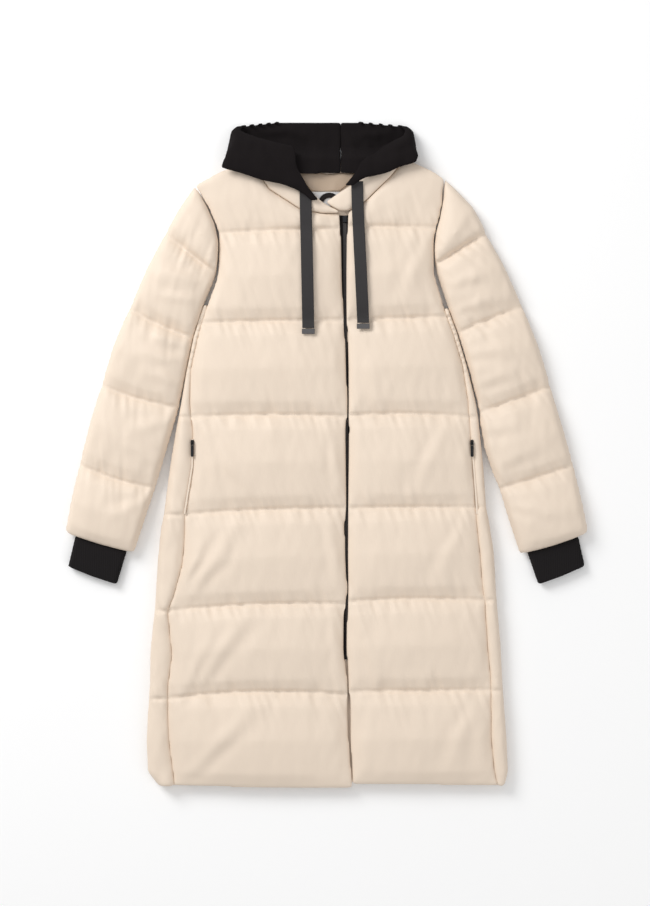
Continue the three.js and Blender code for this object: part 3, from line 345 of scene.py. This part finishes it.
@dataclass
class Shell:
    """The quilted parts: fronts, back, side panels, sleeves and collar."""

    right_seams: tuple[Seam, ...] = field(default_factory=lambda: ring_seams([
        (-189, 388, 25, 396, 2),
        (-215, 231, 31, 236, 1),
        (-241, 66, 37, 67, 3),
        (-249, -105, 36, -94, 3),
        (-280, -274, 36, -262, 5),
        (-280, -428, 38, -421, 9),
    ]))
    left_seams: tuple[Seam, ...] = field(default_factory=lambda: ring_seams([
        (36, 401, 192, 398, 0),
        (35, 236, 213, 242, 0),
        (39, 69, 252, 66, 4),
        (38, -94, 263, -93, 1),
        (38, -258, 279, -256, 4),
        (39, -416, 290, -414, 1),
    ]))
    right_sleeve: tuple[Seam, ...] = field(default_factory=lambda: ring_seams([
        (-283, 388, -191, 316, -1),
        (-346, 256, -232, 205, -5),
        (-395, 122, -258, 83, -6),
        (-434, -17, -300, -59, -6),
    ]))
    left_sleeve: tuple[Seam, ...] = field(default_factory=lambda: ring_seams([
        (189, 332, 280, 387, 2),
        (230, 212, 345, 258, 3),
        (268, 73, 394, 119, 1),
        (303, -60, 434, -18, -1),
    ]))
    right_folds: tuple[Fold, ...] = (
        Fold(-236, -412, -132, -270, 9, 4.5),
        Fold(-262, -440, -196, -300, 7, 3.2),
        Fold(-238, -250, -150, -112, 8, 3.6),
        Fold(-250, -230, -206, -130, 6, 3.0),
        Fold(-244, -560, -120, -436, 9, 3.4),
        Fold(-205, 40, -120, -80, 8, 2.4),
        Fold(-214, 60, -188, -84, 6, 2.6),
        Fold(-170, 330, -150, 250, 8, 1.8),
        Fold(10, 20, 26, -70, 6, 2.4),
        Fold(4, -120, 26, -236, 7, 2.2),
        Fold(10, -290, 24, -400, 6, 2.6),
    )
    left_folds: tuple[Fold, ...] = (
        Fold(210, 50, 150, -80, 8, 2.4),
        Fold(236, -120, 190, -236, 8, 2.2),
        Fold(60, -290, 96, -400, 8, 2.6),
        Fold(262, -430, 210, -560, 9, 2.8),
        Fold(80, -440, 64, -560, 8, 2.4),
        Fold(176, 370, 130, 262, 8, 2.2),
        Fold(60, 210, 96, 90, 8, 1.6),
    )
    right_sleeve_folds: tuple[Fold, ...] = (
        Fold(-222, 300, -290, 322, 7, 3.4),
        Fold(-232, 270, -300, 280, 6, 2.8),
        Fold(-236, 190, -310, 214, 8, 4.0),
        Fold(-246, 160, -330, 180, 7, 3.0),
        Fold(-252, 118, -320, 150, 7, 3.2),
        Fold(-268, 60, -350, 40, 8, 2.8),
        Fold(-290, -20, -370, 30, 8, 2.6),
        Fold(-316, -80, -380, -110, 7, 2.6),
    )
    left_sleeve_folds: tuple[Fold, ...] = (
        Fold(214, 300, 280, 318, 7, 3.2),
        Fold(226, 250, 300, 280, 6, 2.8),
        Fold(246, 176, 330, 190, 8, 3.4),
        Fold(258, 120, 330, 150, 7, 2.8),
        Fold(272, 40, 350, 60, 8, 2.6),
        Fold(300, -20, 380, 20, 8, 2.6),
        Fold(324, -90, 400, -100, 7, 2.6),
    )

    def build(self) -> None:
        """Makes every quilted piece."""
        material = SHELL.build()
        both = self.right_seams + self.left_seams
        parts = (
            Cloth("front_right", SHELL, seams=self.right_seams, folds=self.right_folds, seed=1),
            Cloth("front_left", SHELL, seams=self.left_seams, folds=self.left_folds, seed=2),
            Cloth("back", SHELL, voxel=0.0045, seams=both, seed=3),
            Cloth("side_right", SHELL, voxel=0.003, seams=self.right_seams, ripple=2.6, plump=2.0, seed=4),
            Cloth("side_left", SHELL, voxel=0.003, seams=self.left_seams, ripple=2.6, plump=2.0, seed=5),
            Cloth("sleeve_right", SHELL, seams=self.right_sleeve, folds=self.right_sleeve_folds,
                  ripple=1.8, seed=6),
            Cloth("sleeve_left", SHELL, seams=self.left_sleeve, folds=self.left_sleeve_folds,
                  ripple=1.8, seed=7),
            Cloth("collar_right", SHELL, voxel=0.0022, ripple=1.2, seed=8),
            Cloth("collar_left", SHELL, voxel=0.0022, ripple=1.2, seed=10),
        )
        for part in parts:
            part.build(material)


@dataclass
class SoftTrim:
    """The thin cloth: hood, cuffs and the satin inside the neck."""

    hood_right_folds: tuple[Fold, ...] = (
        Fold(-150, 545, -60, 470, 7, 2.6),
        Fold(-160, 520, -90, 478, 6, 2.0),
        Fold(-100, 548, -60, 500, 6, 2.2),
        Fold(-120, 572, -20, 566, 6, 3.0),
        Fold(-28, 560, 0, 500, 7, 3.4),
    )
    hood_left_folds: tuple[Fold, ...] = (
        Fold(140, 548, 70, 500, 7, 2.6),
        Fold(150, 530, 90, 498, 6, 2.0),
        Fold(36, 566, 50, 512, 6, 3.2),
        Fold(60, 560, 120, 572, 6, 2.6),
    )

    def build(self) -> None:
        """Makes the thin pieces."""
        jersey, rib, satin = JERSEY.build(), RIB.build(), SATIN.build()
        parts = (
            (Cloth("hood_right", JERSEY, voxel=0.0016, rounds=22, ripple=2.0, plump=1.7,
                   folds=self.hood_right_folds, seed=11),
             jersey, (0.16, 0.222), 0.032, "folded", ("collar_right_cloth", "front_right_cloth")),
            (Cloth("hood_left", JERSEY, voxel=0.0016, rounds=22, ripple=2.0, plump=1.7,
                   folds=self.hood_left_folds, seed=12),
             jersey, (0.16, 0.131), 0.0189, "folded", ("collar_left_cloth", "front_left_cloth")),
            (Cloth("cuff_right", RIB, voxel=0.002, ripple=0.8, seed=13),
             rib, (0.19, 0.0388), 0.0066, "laid", ("sleeve_right_cloth",)),
            (Cloth("cuff_left", RIB, voxel=0.002, ripple=0.8, seed=14),
             rib, (0.19, 0.0368), 0.0063, "laid", ("sleeve_left_cloth",)),
            (Cloth("neck_lining", SATIN, voxel=0.0012, rounds=4, ripple=1.8, seed=15),
             satin, (0.11, 0.0275), 0.0027, "gathered", ("back_cloth",)),
        )
        for cloth, material, flat, area, held, rests_on in parts:
            piece = cloth.build(material)


RIGHT_ROUTE = (
    (-36.5, 461, 31.9), (-36.4, 452, 31.2), (-36.3, 443, 31.2), (-36.2, 434, 31.6),
    (-36, 424, 32.2), (-35.8, 412, 32.2), (-35.5, 400, 31), (-35.2, 390, 31.6),
    (-34.9, 380, 34.4), (-34.6, 368, 38), (-34.2, 350, 40.8), (-33.8, 330, 42.4),
    (-33.4, 310, 42.6), (-33, 290, 41.8), (-32.6, 270, 39.8), (-32.3, 255, 36.8),
    (-32.1, 244, 33.4), (-32, 235, 31.4), (-31.9, 228, 33), (-31.8, 221, 35.8),
)
LEFT_ROUTE = (
    (53.6, 478, 32), (53.8, 468, 31.2), (54, 459, 31.2), (54.3, 449, 31.2),
    (54.6, 438, 31.6), (55, 425, 32.4), (55.6, 412, 31.8), (56.2, 400, 31.6),
    (56.8, 388, 34.4), (57.4, 374, 38.2), (58.2, 356, 40.8), (59.2, 336, 42.2),
    (60.2, 314, 42.6), (61.2, 292, 41.8), (62.2, 272, 39.8), (63, 257, 36.8),
    (63.5, 246, 33.2), (63.9, 237, 32), (64.2, 230, 34.6),
)


@dataclass
class Ribbon:
    """One flat woven ribbon of the drawstring, along its route."""

    hand: str
    route: tuple[tuple[float, float, float], ...]
    width: float = 0.021
    thick: float = 0.0012
    across: int = 10

    def build(self, material: bpy.types.Material) -> None:
        points = [Vector(p) * MM for p in self.route]
        work = bmesh.new()
        bmesh.ops.create_grid(work, x_segments=self.across, y_segments=(len(points) - 1) * 3, size=0.5)
        for vertex in work.verts:
            place = (0.5 - vertex.co.y) * (len(points) - 1)
            i = min(int(place), len(points) - 2)
            centre = points[i].lerp(points[i + 1], place - i)
            vertex.co = centre + Vector((vertex.co.x * self.width, 0, 0.0009))
        mesh = bpy.data.meshes.new(f"drawstring_{self.hand}_ribbon")
        work.to_mesh(mesh)
        work.free()
        piece = bpy.data.objects.new(mesh.name, mesh)
        bpy.context.scene.collection.objects.link(piece)
        mesh.materials.append(material)
        for polygon in mesh.polygons:
            polygon.use_smooth = True
        wall = piece.modifiers.new("wall", "SOLIDIFY")
        wall.thickness = self.thick
        wall.offset = 0
        edge = piece.modifiers.new("edge", "BEVEL")
        edge.width = 0.0003
        edge.segments = 2
        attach(piece, COAT)
        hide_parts(f"drawstring_{self.hand}")


def dress_hard_parts() -> None:
    """Gives the pieces that stay as the frame has them their finishes."""
    finishes = {
        TAPE: ("zip_tape_right", "zip_tape_left", "hanger_loop"),
        COIL: ("zip_chain",),
        METAL: ("zip_slider", "pocket_slider_right", "pocket_slider_left", "pocket_pull_right",
                "pocket_pull_left", "pocket_bail_right", "pocket_bail_left"),
        TIP: ("drawstring_tip_right", "drawstring_tip_left"),
        LABEL: ("neck_label",),
        SHELL: ("collar_back", "pocket_zip_right", "pocket_zip_left"),
    }
    for finish, names in finishes.items():
        material = finish.build()
        for name in names:
            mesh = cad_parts[name].data
            mesh.materials.clear()
            mesh.materials.append(material)
            LOG.info("%s: %s", name, finish.name)


@dataclass
class Studio:
    """Camera straight above, soft light from the hood's side and a pale floor."""

    lens: float = 85.0
    frame_height: float = 1.5855
    centre: tuple[float, float] = (-0.0026, 0.0026)

    def build(self) -> None:
        """Makes the camera, the lights and the floor."""
        scene = bpy.context.scene
        camera = bpy.data.objects.new("camera", bpy.data.cameras.new("camera"))
        camera.data.lens = self.lens
        height = self.lens / camera.data.sensor_width * self.frame_height + 0.03
        camera.location = (*self.centre, height)
        scene.collection.objects.link(camera)
        scene.camera = camera
        self._light("key", (-2.6, 2.6, 2.7), 2.0, 134)
        self._light("fill", (2.1, -1.6, 2.6), 2.6, 20)
        self._light("top", (-0.3, 0.5, 3.4), 2.4, 14)
        floor_mesh = bpy.data.meshes.new("floor")
        work = bmesh.new()
        bmesh.ops.create_grid(work, x_segments=1, y_segments=1, size=6)
        work.to_mesh(floor_mesh)
        work.free()
        floor = bpy.data.objects.new("floor", floor_mesh)
        floor.location.z = -0.0005
        scene.collection.objects.link(floor)
        paint = bpy.data.materials.new("floor_paint")
        paint.use_nodes = True
        shader = paint.node_tree.nodes["Principled BSDF"]
        shader.inputs["Base Color"].default_value = (0.97, 0.97, 0.97, 1)
        shader.inputs["Roughness"].default_value = 0.9
        floor_mesh.materials.append(paint)
        world = bpy.data.worlds.new("studio")
        world.use_nodes = True
        world.node_tree.nodes["Background"].inputs["Color"].default_value = (1, 1, 1, 1)
        world.node_tree.nodes["Background"].inputs["Strength"].default_value = 0.5
        scene.world = world
        scene.view_settings.view_transform = "Standard"
        scene.view_settings.look = "None"

    def _light(self, name: str, place: tuple[float, float, float], size: float, power: float) -> None:
        """Adds one soft light that looks at the coat's middle."""
        data = bpy.data.lights.new(name, "AREA")
        data.size = size
        data.energy = power
        light = bpy.data.objects.new(name, data)
        light.location = place
        light.rotation_euler = (-Vector(place)).to_track_quat("-Z", "Y").to_euler()
        bpy.context.scene.collection.objects.link(light)


def main() -> None:
    """Builds the whole scene, with the camera and the ribbons first."""
    logging.basicConfig(level=logging.INFO, format="%(message)s")
    Studio().build()
    ribbon = RIBBON.build()
    Ribbon("right", RIGHT_ROUTE).build(ribbon)
    Ribbon("left", LEFT_ROUTE).build(ribbon)
    Shell().build()
    SoftTrim().build()
    dress_hard_parts()


if __name__ == "__main__":
    main()
